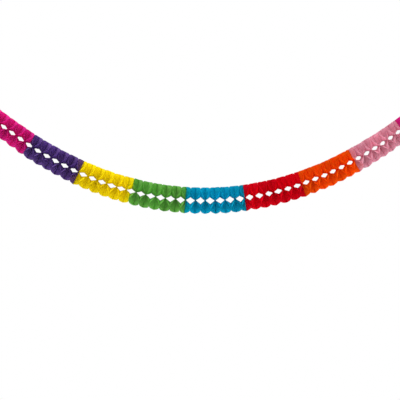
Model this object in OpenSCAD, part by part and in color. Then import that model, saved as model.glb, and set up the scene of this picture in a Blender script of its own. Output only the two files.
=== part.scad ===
// Tissue paper garland: rounded square leaves, glued in turn along a cross in the middle and along lines
// out to the corners, pulled open into a string of cells that hangs between two end cards.
// X runs along the garland, -Y is its front and Z is up. The origin is the middle of the hanging hole
// in the left end card.

/* [Garland] */
// Length of one opened cell at the left end (mm)
cell_left = 58; // [46:0.5:66]
// Length of one opened cell at the right end (mm)
cell_right = 52; // [46:0.5:66]

/* [Leaf] */
// Width of a leaf across its flat sides (mm)
leaf_w = 144; // [110:1:170]
// Distance from a leaf's middle at which the glue lines to its corners start (mm)
corner_glue_from = 26; // [16:1:45]
// Squareness of the leaf's outline, where 2 is a circle
squareness = 4; // [3:0.25:6]
// Thickness of a leaf (mm)
sheet_t = 0.6; // [0.3:0.1:1]
// Thickness of the glue between two leaves (mm)
glue_t = 0.1; // [0.05:0.05:0.3]

/* [Hanging line] */
// Radius of the bend at the lowest point (mm)
bend_r = 1577; // [1200:1:2500]
// Share of the length that lies left of the lowest point
low_share = 0.483; // [0.4:0.0005:0.6]
// Share of its width that a leaf loses near the ends, where the garland is pulled hardest
end_narrowing = 0.2; // [0:0.01:0.25]

/* [End cards] */
// Thickness of an end card (mm)
card_t = 1; // [0.75:0.25:3]
// Diameter of the hanging hole punched in an end card (mm)
hang_hole_d = 6; // [4:0.5:10]

/* [Hidden] */
// Leaves in each run of one colour, from left to right
leaf_counts = [12, 11, 11, 11, 12, 12, 12, 12, 11];
function first_leaf(run) = run == 0 ? 0 : first_leaf(run - 1) + leaf_counts[run - 1];
leaf_total = first_leaf(len(leaf_counts));
// Two leaves make one cell, and the cells grow evenly shorter from left to right
function glue_plane(j) = (cell_left * j - (cell_left - cell_right) * j * j / (2 * leaf_total)) / 2;
garland_len = glue_plane(leaf_total);
low_at = low_share * garland_len;
// The hanging line is a catenary, measured by the length along it
function reach(s) = sqrt(bend_r * bend_r + (s - low_at) * (s - low_at));
function line_x(s) = bend_r * ln((s - low_at + reach(s)) / bend_r);
function line_z(s) = reach(s) - bend_r;
function line_angle(s) = atan((s - low_at) / bend_r);
home_x = line_x(0) - card_t / 2 * cos(line_angle(0));
home_z = line_z(0) - card_t / 2 * sin(line_angle(0));
// The share of a leaf's width that is left at length s
function drawn_in(s) = 1 - end_narrowing * pow(abs(s - low_at) / (garland_len / 2), 3);
// The place at length s, distance r across the flat leaf and angle q round it (0 the front, 90 the top)
function place(s, r, q) = [
    line_x(s) - home_x - r * drawn_in(s) * sin(q) * sin(line_angle(s)),
    -r * drawn_in(s) * cos(q),
    line_z(s) - home_z + r * drawn_in(s) * sin(q) * cos(line_angle(s))
];
function outline_r(q) =
    leaf_w / 2 / pow(pow(abs(cos(q)), squareness) + pow(abs(sin(q)), squareness), 1 / squareness);
// A leaf rises from the cross in its middle (0) to the glue lines at its four corners (1)
function rise(r, q) = (1 - abs(q % 90 - 45) / 45) * min(r / corner_glue_from, 1);
folds = 8;
rim = 2 * folds;
card_points = 96;

// One die cut leaf, folded open between two glue planes
module leaf(j) {
    low = glue_plane(j) + (glue_t + sheet_t) / 2;
    high = glue_plane(j + 1) - (glue_t + sheet_t) / 2;
    at_corners = j % 2 == 0 ? low : high;
    at_cross = j % 2 == 0 ? high : low;
    points = [for (side = [-1, 1])
        each [
            for (k = [0 : rim - 1])
                let (q = k * 360 / rim)
                place(at_cross + (at_corners - at_cross) * rise(outline_r(q), q) + side * sheet_t / 2,
                    outline_r(q), q),
            for (k = [0 : folds - 1])
                let (q = k * 360 / folds)
                place(at_cross + (at_corners - at_cross) * rise(corner_glue_from, q) + side * sheet_t / 2,
                    corner_glue_from, q),
            place(at_cross + side * sheet_t / 2, 0, 0)
        ]];
    middle = rim + folds;
    other = middle + 1;
    panels = [for (k = [0 : folds - 1])
        let (a = rim + k, b = rim + (k + 1) % folds, o = 2 * k, p = o + 1, n = (o + 2) % rim)
        each [[middle, a, b], [a, o, p], [a, p, b], [b, p, n]]];
    edges = [for (k = [0 : rim - 1])
        let (n = (k + 1) % rim)
        each [[n + other, k + other, k], [n + other, k, n]]];
    polyhedron(
        points = points,
        faces = concat(
            [for (f = panels) [f[2], f[1], f[0]]],
            [for (f = panels) [for (v = f) v + other]],
            edges),
        convexity = 8);
}

// All the leaves of one colour
module leaf_run(run) {
    for (j = [first_leaf(run) : first_leaf(run + 1) - 1])
        leaf(j);
}

// A stiff card cut to the outline of the leaf that it holds, with a punched hole, standing across the line
module end_card(s, start) {
    translate([line_x(s) - home_x, 0, line_z(s) - home_z])
        rotate([0, 90 - line_angle(s), 0])
            translate([0, 0, start])
                difference() {
                    linear_extrude(height = card_t)
                        polygon([for (k = [0 : card_points - 1])
                            let (q = k * 360 / card_points)
                            outline_r(q) * drawn_in(s) * [sin(q), cos(q)]]);
                    translate([0, 0, -1])
                        cylinder(h = card_t + 2, d = hang_hole_d, $fn = 48);
                }
}

module left_end_card() {
    color([0.72, 0.02, 0.36])
        end_card(0, -card_t);
}

module left_magenta_leaves() {
    color([0.8, 0.02, 0.42])
        leaf_run(0);
}

module purple_leaves() {
    color([0.27, 0.15, 0.5])
        leaf_run(1);
}

module yellow_leaves() {
    color([0.9, 0.78, 0])
        leaf_run(2);
}

module green_leaves() {
    color([0.22, 0.57, 0.18])
        leaf_run(3);
}

module blue_leaves() {
    color([0, 0.56, 0.71])
        leaf_run(4);
}

module red_leaves() {
    color([0.78, 0, 0.08])
        leaf_run(5);
}

module orange_leaves() {
    color([0.96, 0.31, 0])
        leaf_run(6);
}

module pink_leaves() {
    color([0.88, 0.57, 0.69])
        leaf_run(7);
}

module right_magenta_leaves() {
    color([0.8, 0.02, 0.42])
        leaf_run(8);
}

module right_end_card() {
    color([0.72, 0.02, 0.36])
        end_card(garland_len, 0);
}

left_end_card();
left_magenta_leaves();
purple_leaves();
yellow_leaves();
green_leaves();
blue_leaves();
red_leaves();
orange_leaves();
pink_leaves();
right_magenta_leaves();
right_end_card();
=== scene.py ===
import math
import random

import bpy
from mathutils import Matrix, Vector, noise


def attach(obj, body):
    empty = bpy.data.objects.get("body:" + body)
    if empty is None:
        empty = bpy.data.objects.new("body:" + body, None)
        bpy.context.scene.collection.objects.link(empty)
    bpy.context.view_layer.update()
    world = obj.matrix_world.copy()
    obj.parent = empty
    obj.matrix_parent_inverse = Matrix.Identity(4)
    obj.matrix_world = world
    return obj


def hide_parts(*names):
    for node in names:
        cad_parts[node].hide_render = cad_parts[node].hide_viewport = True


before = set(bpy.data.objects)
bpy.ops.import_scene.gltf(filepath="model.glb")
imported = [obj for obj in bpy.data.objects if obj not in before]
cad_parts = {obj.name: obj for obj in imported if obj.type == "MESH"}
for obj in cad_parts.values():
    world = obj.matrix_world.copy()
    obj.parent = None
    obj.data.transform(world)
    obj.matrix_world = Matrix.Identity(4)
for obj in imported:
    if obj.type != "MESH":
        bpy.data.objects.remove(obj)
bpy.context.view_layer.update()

# One leaf: a rounded square of dyed tissue paper, die cut from a glued stack. It is drawn flat,
# as it leaves the die, and each leaf of the garland is a copy of this one.
LEAF_HALF = 0.072
SQUARENESS = 4
LEAF_SPOKES = 64
LEAF_BANDS = 9
LEAF_MIDDLE = 0.004
PATTERN_SPAN = 4 * LEAF_HALF
FOLD_ANGLE = math.radians(40)


def outline_r(angle, half):
    """Distance from a sheet's middle to its rounded square edge."""
    return half / (
        abs(math.cos(angle)) ** SQUARENESS + abs(math.sin(angle)) ** SQUARENESS
    ) ** (1 / SQUARENESS)


def square_off(mesh, inner, half):
    """Turns the flat rings of a mesh from circles at inner to the rounded square at half its width."""
    for v in mesh.vertices:
        r = v.co.xy.length
        if r < inner / 2:
            continue
        share = (r - inner) / (half - inner)
        full = inner + share * (outline_r(math.atan2(v.co.y, v.co.x), half) - inner)
        v.co.xy = v.co.xy * (full / r)


def flat_rings(name, inner, half, spokes, bands, fill):
    """A flat sheet of paper: a circle of edges, open or filled, extruded outwards band by band."""
    bpy.ops.object.select_all(action="DESELECT")
    bpy.ops.mesh.primitive_circle_add(vertices=spokes, radius=inner, fill_type=fill, calc_uvs=False)
    ring = bpy.context.object
    ring.name = name
    bpy.ops.object.mode_set(mode="EDIT")
    bpy.ops.mesh.select_all(action="SELECT")
    if fill != "NOTHING":
        bpy.ops.mesh.region_to_loop()
    step = (half - inner) / bands
    for band in range(bands):
        grow = (inner + step * (band + 1)) / (inner + step * band)
        bpy.ops.mesh.extrude_edges_move(TRANSFORM_OT_translate={"value": (0, 0, 0)})
        bpy.ops.transform.resize(value=(grow, grow, 1), center_override=(0, 0, 0))
    bpy.ops.mesh.select_all(action="SELECT")
    bpy.ops.mesh.normals_make_consistent(inside=False)
    bpy.ops.object.mode_set(mode="OBJECT")
    square_off(ring.data, inner, half)
    flat = ring.data.uv_layers.new(name="flat")
    for loop in ring.data.loops:
        spot = ring.data.vertices[loop.vertex_index].co.xy
        flat.data[loop.index].uv = spot / PATTERN_SPAN + Vector((0.5, 0.5))
    return ring


def thicken(sheet, name, depth):
    """Gives a sheet its thickness, half to each side, and smooths it between its folds and edges."""
    thick = sheet.modifiers.new(name, "SOLIDIFY")
    thick.thickness = depth
    thick.offset = 0
    bpy.ops.object.modifier_apply(modifier=thick.name)
    bpy.ops.object.shade_smooth_by_angle(angle=FOLD_ANGLE)


leaf = flat_rings("flat_leaf", LEAF_MIDDLE, LEAF_HALF, LEAF_SPOKES, LEAF_BANDS, "TRIFAN")

# The runs of leaves: each leaf is glued to the next, in turn along a cross in its middle and along lines
# out to its corners. Pulled open, the stack becomes a string of cells, which hangs in a catenary.
CELL_LEFT = 0.058
CELL_RIGHT = 0.052
LEAF_COUNTS = (12, 11, 11, 11, 12, 12, 12, 12, 11)
LEAF_TOTAL = sum(LEAF_COUNTS)
BEND_R = 1.577
LOW_SHARE = 0.483
END_NARROWING = 0.2
CARD_T = 0.001
OPENING_AT_ENDS = 0.0185
OPENING_GAIN = 0.009
OPENING_SPREAD = 0.35


def glue_plane(j):
    """Length along the hanging line at which leaf j starts."""
    return (CELL_LEFT * j - (CELL_LEFT - CELL_RIGHT) * j * j / (2 * LEAF_TOTAL)) / 2


GARLAND_LEN = glue_plane(LEAF_TOTAL)
LOW_AT = LOW_SHARE * GARLAND_LEN


def hang(s):
    """The place and the slope of the hanging line, a catenary, at length s. Its lowest point is the zero."""
    steepness = (s - LOW_AT) / BEND_R
    return BEND_R * math.asinh(steepness), math.hypot(BEND_R, s - LOW_AT) - BEND_R, math.atan(steepness)


start_x, start_z, start_slope = hang(0)
HOME = Vector((
    start_x - CARD_T / 2 * math.cos(start_slope),
    0,
    start_z - CARD_T / 2 * math.sin(start_slope),
))


def drawn_in(s):
    """Share of a leaf's width that is left at length s: the ends are pulled hardest, and narrowest."""
    return 1 - END_NARROWING * (abs(s - LOW_AT) / (GARLAND_LEN / 2)) ** 3


def opening(s):
    """Distance from a leaf's middle to the glue on its corners: the bottom of the swag gapes widest."""
    return OPENING_AT_ENDS + OPENING_GAIN * math.exp(-(((s - LOW_AT) / OPENING_SPREAD) ** 2))


def place(s, front, up):
    """A point of an opened leaf at length s, with its distances on the flat leaf towards the front and up."""
    x, z, slope = hang(s)
    front, up = front * drawn_in(s), up * drawn_in(s)
    return Vector((x - up * math.sin(slope), -front, z + up * math.cos(slope))) - HOME


# No two glue lines of a real garland open quite alike, so each glue plane slips along the line, tips, turns
# and rises a little. Only the two planes on the end cards stay true.
SLIP = 0.0014
TIP = 0.022
TURN_DEG = 2.2
RISE = 0.0012

hand = random.Random(11)
slack = [
    {
        "slip": hand.uniform(-SLIP, SLIP),
        "tip_up": hand.uniform(-TIP, TIP),
        "tip_front": hand.uniform(-TIP, TIP),
        "turn": math.radians(hand.uniform(-TURN_DEG, TURN_DEG)),
        "rise": hand.uniform(-RISE, RISE),
    }
    for _ in range(LEAF_TOTAL + 1)
]
for end in (0, LEAF_TOTAL):
    slack[end] = dict.fromkeys(slack[end], 0)

# A leaf folds into eight panels, between the four arms of the cross and the four lines to the corners.
# The panels bow and crinkle, the lower edge sags into scallops, and the front and back points flare.
PANELS = 8
PANEL_DEG = 360 / PANELS
CROSS_GLUE_HALF = 0.001
CROSS_GLUE_R = 0.020
CORNER_GLUE_HALF = 0.003
WIDEST_STRIP = 0.7
OPENING_CURVE = 0.85
OPENING_DROOP = 0.002
LOWER_LIFT = 0.005
UPPER_LIFT = 0.0025
CROSS_SAG = 0.003
SIDE_FLARE = 0.003
TISSUE_T = 0.00012
GLUE_T = 0.0001
PANEL_SOFTNESS = 0.5
PANEL_BOW = 0.003
CRINKLE = 0.0008
CRINKLE_SCALE = 90
CRINKLE_SHIFT = 3.7


def strip_deg(half, r):
    """Half the angle that a glue strip takes up at distance r from the leaf's middle."""
    return math.degrees(math.asin(min(half / r, WIDEST_STRIP)))


def fold(x, y, r, angle, mouth):
    """How far a point goes from the cross glue (0) to the corner glue (1), and how freely it bows there."""
    from_cross = PANEL_DEG - abs(angle % (2 * PANEL_DEG) - PANEL_DEG)
    cross_strip = strip_deg(CROSS_GLUE_HALF, r)
    corner_strip = strip_deg(CORNER_GLUE_HALF, r)
    m = min(max((from_cross - cross_strip) / max(PANEL_DEG - cross_strip - corner_strip, 1), 0), 1)
    m += PANEL_SOFTNESS * (m * m * (3 - 2 * m) - m)
    bend = math.sin(math.pi * m) * min(r / mouth, 1)
    return min(m, (min(abs(x), abs(y)) * math.sqrt(2) / mouth) ** OPENING_CURVE), bend


def glued_at(k, x, y):
    """Length along the hanging line of glue plane k, with its slack, at a point of the leaf."""
    return glue_plane(k) + slack[k]["slip"] + slack[k]["tip_up"] * y + slack[k]["tip_front"] * x


def flare(x, y):
    """Share of the flare at a point: it grows along the side arms of the cross, past the glue."""
    if not x:
        return 0
    return max(abs(x) - CROSS_GLUE_R, 0) / (LEAF_HALF - CROSS_GLUE_R) * max(1 - abs(y / x), 0)


def open_leaf(j):
    """A copy of the flat leaf, folded open between its two glue planes."""
    copy = leaf.copy()
    copy.data = leaf.data.copy()
    bpy.context.collection.objects.link(copy)
    corner, cross = (j, j + 1) if j % 2 == 0 else (j + 1, j)
    inwards = GLUE_T / 2 if j % 2 == 0 else -GLUE_T / 2
    bows = [hand.uniform(-PANEL_BOW, PANEL_BOW) for _ in range(PANELS)]
    mouth = opening(glue_plane(corner))
    for v in copy.data.vertices:
        x, y = v.co.x, v.co.y
        r = max(math.hypot(x, y), 1e-6)
        angle = math.degrees(math.atan2(y, x)) % 360
        m, bend = fold(x, y, r, angle, mouth)
        at_corner = glued_at(corner, x, y) + inwards
        at_cross = glued_at(cross, x, y) - inwards
        s = at_cross + (at_corner - at_cross) * m
        s += math.copysign(SIDE_FLARE, at_corner - at_cross) * flare(x, y)
        s += bows[int(angle // PANEL_DEG) % PANELS] * bend * r / LEAF_HALF
        s += CRINKLE * noise.noise((x * CRINKLE_SCALE, y * CRINKLE_SCALE, j * CRINKLE_SHIFT)) * bend
        turn = slack[corner]["turn"] * m + slack[cross]["turn"] * (1 - m)
        rise = slack[corner]["rise"] * m + slack[cross]["rise"] * (1 - m)
        outer = min(max(r - mouth, 0) / (LEAF_HALF - mouth), 1)
        if 0 < corner < LEAF_TOTAL:
            rise += outer * (LOWER_LIFT * m if y < 0 else UPPER_LIFT * m ** 3)
            rise -= OPENING_DROOP * (1 - outer) * m
        rise -= CROSS_SAG * (1 - m) * max(-y / LEAF_HALF, 0)
        front = x * math.cos(turn) - y * math.sin(turn)
        up = x * math.sin(turn) + y * math.cos(turn) + rise
        v.co = place(s, front, up)
    return copy


def leaf_run(run, name):
    """All the leaves of one colour, joined into one piece with the thickness of tissue."""
    first = sum(LEAF_COUNTS[:run])
    leaves = [open_leaf(j) for j in range(first, first + LEAF_COUNTS[run])]
    bpy.ops.object.select_all(action="DESELECT")
    for one in leaves:
        one.select_set(True)
    bpy.context.view_layer.objects.active = leaves[0]
    bpy.ops.object.join()
    piece = bpy.context.object
    piece.name = name
    thicken(piece, "tissue_thickness", TISSUE_T)
    return piece


# Tissue paper has long soft fibres, a cloudy dye and fine creases, all lying in the sheet. The dyed board
# of the end cards is the same pulp, without the creases.
GRAIN_STRENGTH = 0.4
GRAIN_DEPTH = 0.0006

paper = bpy.data.node_groups.new("tissue_sheet", "ShaderNodeTree")
paper.interface.new_socket("Dye", in_out="INPUT", socket_type="NodeSocketColor")
paper.interface.new_socket("Cloud", in_out="INPUT", socket_type="NodeSocketFloat")
paper.interface.new_socket("Creases", in_out="INPUT", socket_type="NodeSocketFloat")
paper.interface.new_socket("Color", in_out="OUTPUT", socket_type="NodeSocketColor")
paper.interface.new_socket("Roughness", in_out="OUTPUT", socket_type="NodeSocketFloat")
paper.interface.new_socket("Height", in_out="OUTPUT", socket_type="NodeSocketFloat")
nodes, links = paper.nodes, paper.links
sheet_in = nodes.new("NodeGroupInput")
sheet_out = nodes.new("NodeGroupOutput")
sheet_uv = nodes.new("ShaderNodeTexCoord")
cloud = nodes.new("ShaderNodeTexNoise")
cloud.inputs["Scale"].default_value = 9
cloud.inputs["Detail"].default_value = 5
links.new(sheet_uv.outputs["Object"], cloud.inputs["Vector"])
fibre_lay = nodes.new("ShaderNodeMapping")
fibre_lay.inputs["Scale"].default_value = (40, 160, 1)
links.new(sheet_uv.outputs["UV"], fibre_lay.inputs["Vector"])
fibre = nodes.new("ShaderNodeTexNoise")
fibre.inputs["Scale"].default_value = 1
fibre.inputs["Detail"].default_value = 6
links.new(fibre_lay.outputs["Vector"], fibre.inputs["Vector"])
wander = nodes.new("ShaderNodeTexNoise")
wander.inputs["Scale"].default_value = 22
wander.inputs["Detail"].default_value = 3
links.new(sheet_uv.outputs["UV"], wander.inputs["Vector"])
crease_lay = nodes.new("ShaderNodeVectorMath")
crease_lay.operation = "MULTIPLY_ADD"
links.new(wander.outputs["Color"], crease_lay.inputs[0])
crease_lay.inputs[1].default_value = (0.06, 0.06, 0)
links.new(sheet_uv.outputs["UV"], crease_lay.inputs[2])
crease = nodes.new("ShaderNodeTexVoronoi")
crease.feature = "DISTANCE_TO_EDGE"
crease.inputs["Scale"].default_value = 20
links.new(crease_lay.outputs["Vector"], crease.inputs["Vector"])
blot = nodes.new("ShaderNodeMath")
blot.operation = "MULTIPLY_ADD"
links.new(fibre.outputs["Fac"], blot.inputs[0])
blot.inputs[1].default_value = 0.5
links.new(cloud.outputs["Fac"], blot.inputs[2])
tone = nodes.new("ShaderNodeMapRange")
tone.inputs["From Min"].default_value = 0.45
tone.inputs["From Max"].default_value = 1.05
tone.inputs["To Min"].default_value = -1
tone.inputs["To Max"].default_value = 1
links.new(blot.outputs[0], tone.inputs["Value"])
level = nodes.new("ShaderNodeMath")
level.operation = "MULTIPLY_ADD"
links.new(tone.outputs["Result"], level.inputs[0])
links.new(sheet_in.outputs["Cloud"], level.inputs[1])
level.inputs[2].default_value = 1
dyed = nodes.new("ShaderNodeHueSaturation")
links.new(sheet_in.outputs["Dye"], dyed.inputs["Color"])
links.new(level.outputs[0], dyed.inputs["Value"])
links.new(dyed.outputs["Color"], sheet_out.inputs["Color"])
rough = nodes.new("ShaderNodeMapRange")
rough.inputs["To Min"].default_value = 0.7
rough.inputs["To Max"].default_value = 0.95
links.new(fibre.outputs["Fac"], rough.inputs["Value"])
links.new(rough.outputs["Result"], sheet_out.inputs["Roughness"])
crease_edge = nodes.new("ShaderNodeMapRange")
crease_edge.inputs["From Max"].default_value = 0.12
links.new(crease.outputs["Distance"], crease_edge.inputs["Value"])
height = nodes.new("ShaderNodeMath")
height.operation = "MULTIPLY_ADD"
links.new(crease_edge.outputs["Result"], height.inputs[0])
links.new(sheet_in.outputs["Creases"], height.inputs[1])
links.new(fibre.outputs["Fac"], height.inputs[2])
links.new(height.outputs[0], sheet_out.inputs["Height"])


def srgb(r, g, b):
    """A colour written as it looks on a screen, from 0 to 255."""
    shares = [c / 255 for c in (r, g, b)]
    return (*(c / 12.92 if c <= 0.04045 else ((c + 0.055) / 1.055) ** 2.4 for c in shares), 1)


LIGHT_THROUGH = 0.55
TISSUE_CREASES = 0.6


def tissue(name, dye, cloudiness):
    """Dyed tissue: a matt sheet that lets part of the light through."""
    mat = bpy.data.materials.new(name)
    mat.use_nodes = True
    nodes, links = mat.node_tree.nodes, mat.node_tree.links
    nodes.clear()
    out = nodes.new("ShaderNodeOutputMaterial")
    sheet = nodes.new("ShaderNodeGroup")
    sheet.node_tree = paper
    sheet.inputs["Dye"].default_value = dye
    sheet.inputs["Cloud"].default_value = cloudiness
    sheet.inputs["Creases"].default_value = TISSUE_CREASES
    bump = nodes.new("ShaderNodeBump")
    bump.inputs["Strength"].default_value = GRAIN_STRENGTH
    bump.inputs["Distance"].default_value = GRAIN_DEPTH
    links.new(sheet.outputs["Height"], bump.inputs["Height"])
    face = nodes.new("ShaderNodeBsdfPrincipled")
    face.inputs["Specular IOR Level"].default_value = 0.05
    links.new(sheet.outputs["Color"], face.inputs["Base Color"])
    links.new(sheet.outputs["Roughness"], face.inputs["Roughness"])
    links.new(bump.outputs["Normal"], face.inputs["Normal"])
    through = nodes.new("ShaderNodeBsdfTranslucent")
    links.new(sheet.outputs["Color"], through.inputs["Color"])
    links.new(bump.outputs["Normal"], through.inputs["Normal"])
    both = nodes.new("ShaderNodeMixShader")
    both.inputs["Fac"].default_value = LIGHT_THROUGH
    links.new(face.outputs["BSDF"], both.inputs[1])
    links.new(through.outputs["BSDF"], both.inputs[2])
    links.new(both.outputs["Shader"], out.inputs["Surface"])
    return mat


RUNS = (
    ("left_magenta_leaves", "tissue_magenta", srgb(228, 56, 168), 0.16),
    ("purple_leaves", "tissue_purple", srgb(130, 98, 172), 0.2),
    ("yellow_leaves", "tissue_yellow", srgb(243, 231, 28), 0.08),
    ("green_leaves", "tissue_green", srgb(142, 203, 108), 0.18),
    ("blue_leaves", "tissue_blue", srgb(20, 194, 218), 0.16),
    ("red_leaves", "tissue_red", srgb(232, 14, 48), 0.14),
    ("orange_leaves", "tissue_orange", srgb(246, 124, 20), 0.14),
    ("pink_leaves", "tissue_pink", srgb(236, 190, 204), 0.12),
    ("right_magenta_leaves", "tissue_magenta", srgb(228, 56, 168), 0.16),
)
dyes = {}
for run, (node, slot, dye, cloudiness) in enumerate(RUNS):
    piece = leaf_run(run, node + "_tissue")
    if slot not in dyes:
        dyes[slot] = tissue(slot, dye, cloudiness)
    piece.data.materials.clear()
    piece.data.materials.append(dyes[slot])
    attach(piece, "root")
    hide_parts(node)
bpy.data.objects.remove(leaf)

# The end cards: stiff dyed board, cut to the outline of the leaf at that end and punched in the middle.
# Each is glued to the lines out to its leaf's corners, and the garland hangs by the two holes.
HANG_HOLE_R = 0.003
CARD_SPOKES = 96
CARD_BANDS = 4
CARD_EDGE = 0.0002
CARD_DYE = srgb(140, 14, 72)
CARD_CLOUD = 0.25

board = bpy.data.materials.new("dyed_board")
board.use_nodes = True
nodes, links = board.node_tree.nodes, board.node_tree.links
face = nodes["Principled BSDF"]
pulp = nodes.new("ShaderNodeGroup")
pulp.node_tree = paper
pulp.inputs["Dye"].default_value = CARD_DYE
pulp.inputs["Cloud"].default_value = CARD_CLOUD
pulp.inputs["Creases"].default_value = 0
grain = nodes.new("ShaderNodeBump")
grain.inputs["Strength"].default_value = GRAIN_STRENGTH
grain.inputs["Distance"].default_value = GRAIN_DEPTH
face.inputs["Specular IOR Level"].default_value = 0.3
links.new(pulp.outputs["Color"], face.inputs["Base Color"])
links.new(pulp.outputs["Roughness"], face.inputs["Roughness"])
links.new(pulp.outputs["Height"], grain.inputs["Height"])
links.new(grain.outputs["Normal"], face.inputs["Normal"])


def end_card(node, s):
    """A punched card standing across the hanging line, its middle at length s past the line's end."""
    end = min(max(s, 0), GARLAND_LEN)
    half = LEAF_HALF * drawn_in(end)
    card = flat_rings(node + "_board", HANG_HOLE_R, half, CARD_SPOKES, CARD_BANDS, "NOTHING")
    thicken(card, "board_thickness", CARD_T)
    rounded = card.modifiers.new("pressed_edges", "BEVEL")
    rounded.width = CARD_EDGE
    rounded.segments = 2
    rounded.limit_method = "ANGLE"
    rounded.harden_normals = True
    bpy.ops.object.modifier_apply(modifier=rounded.name)
    x, z, slope = hang(end)
    along = Vector((math.cos(slope), 0, math.sin(slope)))
    turn = Matrix.Rotation(math.pi / 2 - slope, 4, "Y")
    card.data.transform(Matrix.Translation(Vector((x, 0, z)) - HOME + along * (s - end)) @ turn)
    card.data.materials.append(board)
    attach(card, "root")
    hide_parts(node)


end_card("left_end_card", -CARD_T / 2)
end_card("right_end_card", GARLAND_LEN + CARD_T / 2)

# The stage: a pale studio floor well below the garland, and a surround that is white to look at and lights
# the garland softly from all sides. One large lamp hangs overhead, and a weaker one stands in front.
GARLAND_MIDDLE = Vector((1.25, 0, -0.3))
FLOOR_Z = -2.4
FLOOR_SIZE = 12
FLOOR_GREY = (0.85, 0.85, 0.85, 1)
WHITE = (1, 1, 1, 1)
SURROUND_LIGHT = 0.9

bpy.ops.object.select_all(action="DESELECT")
bpy.ops.mesh.primitive_plane_add(size=FLOOR_SIZE, location=(GARLAND_MIDDLE.x, 0, FLOOR_Z))
floor = bpy.context.object
floor.name = "floor"
pale = bpy.data.materials.new("pale_floor")
pale.use_nodes = True
pale.node_tree.nodes["Principled BSDF"].inputs["Base Color"].default_value = FLOOR_GREY
pale.node_tree.nodes["Principled BSDF"].inputs["Roughness"].default_value = 0.9
floor.data.materials.append(pale)

world = bpy.data.worlds.new("white_surround")
world.use_nodes = True
bpy.context.scene.world = world
nodes, links = world.node_tree.nodes, world.node_tree.links
nodes.clear()
rays = nodes.new("ShaderNodeLightPath")
seen = nodes.new("ShaderNodeMath")
seen.operation = "MAXIMUM"
links.new(rays.outputs["Is Camera Ray"], seen.inputs[0])
links.new(rays.outputs["Is Glossy Ray"], seen.inputs[1])
shine = nodes.new("ShaderNodeMath")
shine.operation = "MAXIMUM"
links.new(seen.outputs[0], shine.inputs[0])
links.new(rays.outputs["Is Transmission Ray"], shine.inputs[1])
white = nodes.new("ShaderNodeBackground")
white.inputs["Color"].default_value = WHITE
soft_light = nodes.new("ShaderNodeBackground")
soft_light.inputs["Color"].default_value = WHITE
soft_light.inputs["Strength"].default_value = SURROUND_LIGHT
which = nodes.new("ShaderNodeMixShader")
links.new(shine.outputs[0], which.inputs["Fac"])
links.new(soft_light.outputs[0], which.inputs[1])
links.new(white.outputs[0], which.inputs[2])
surround = nodes.new("ShaderNodeOutputWorld")
links.new(which.outputs[0], surround.inputs["Surface"])


def soft_box(name, where, size, watts):
    """A square studio lamp that faces the garland's middle."""
    lamp = bpy.data.lights.new(name, "AREA")
    lamp.size = size
    lamp.energy = watts
    holder = bpy.data.objects.new(name, lamp)
    bpy.context.collection.objects.link(holder)
    holder.location = where
    holder.rotation_euler = (GARLAND_MIDDLE - Vector(where)).to_track_quat("-Z", "Y").to_euler()


soft_box("overhead", where=(-1.0, -2.0, 5.5), size=5, watts=650)
soft_box("front", where=(1.2, -6.5, 2.0), size=4, watts=80)

# The camera: a long lens, far off, a little below the garland and to the left of its middle. It looks
# slightly up and to the right, at the photograph's angle.
AIM = Vector((1.2229, 0, -0.5164))
AWAY = 11.352
LOOK_UP = math.radians(2)
LOOK_RIGHT = math.radians(1)

view = bpy.data.cameras.new("camera")
view.lens = 184
view.sensor_width = 36
camera = bpy.data.objects.new("camera", view)
bpy.context.collection.objects.link(camera)
camera.location = AIM - AWAY * Vector((math.sin(LOOK_RIGHT), math.cos(LOOK_RIGHT), math.tan(LOOK_UP)))
camera.rotation_euler = (math.pi / 2 + LOOK_UP, 0, -LOOK_RIGHT)
bpy.context.scene.camera = camera
bpy.context.scene.view_settings.view_transform = "Standard"
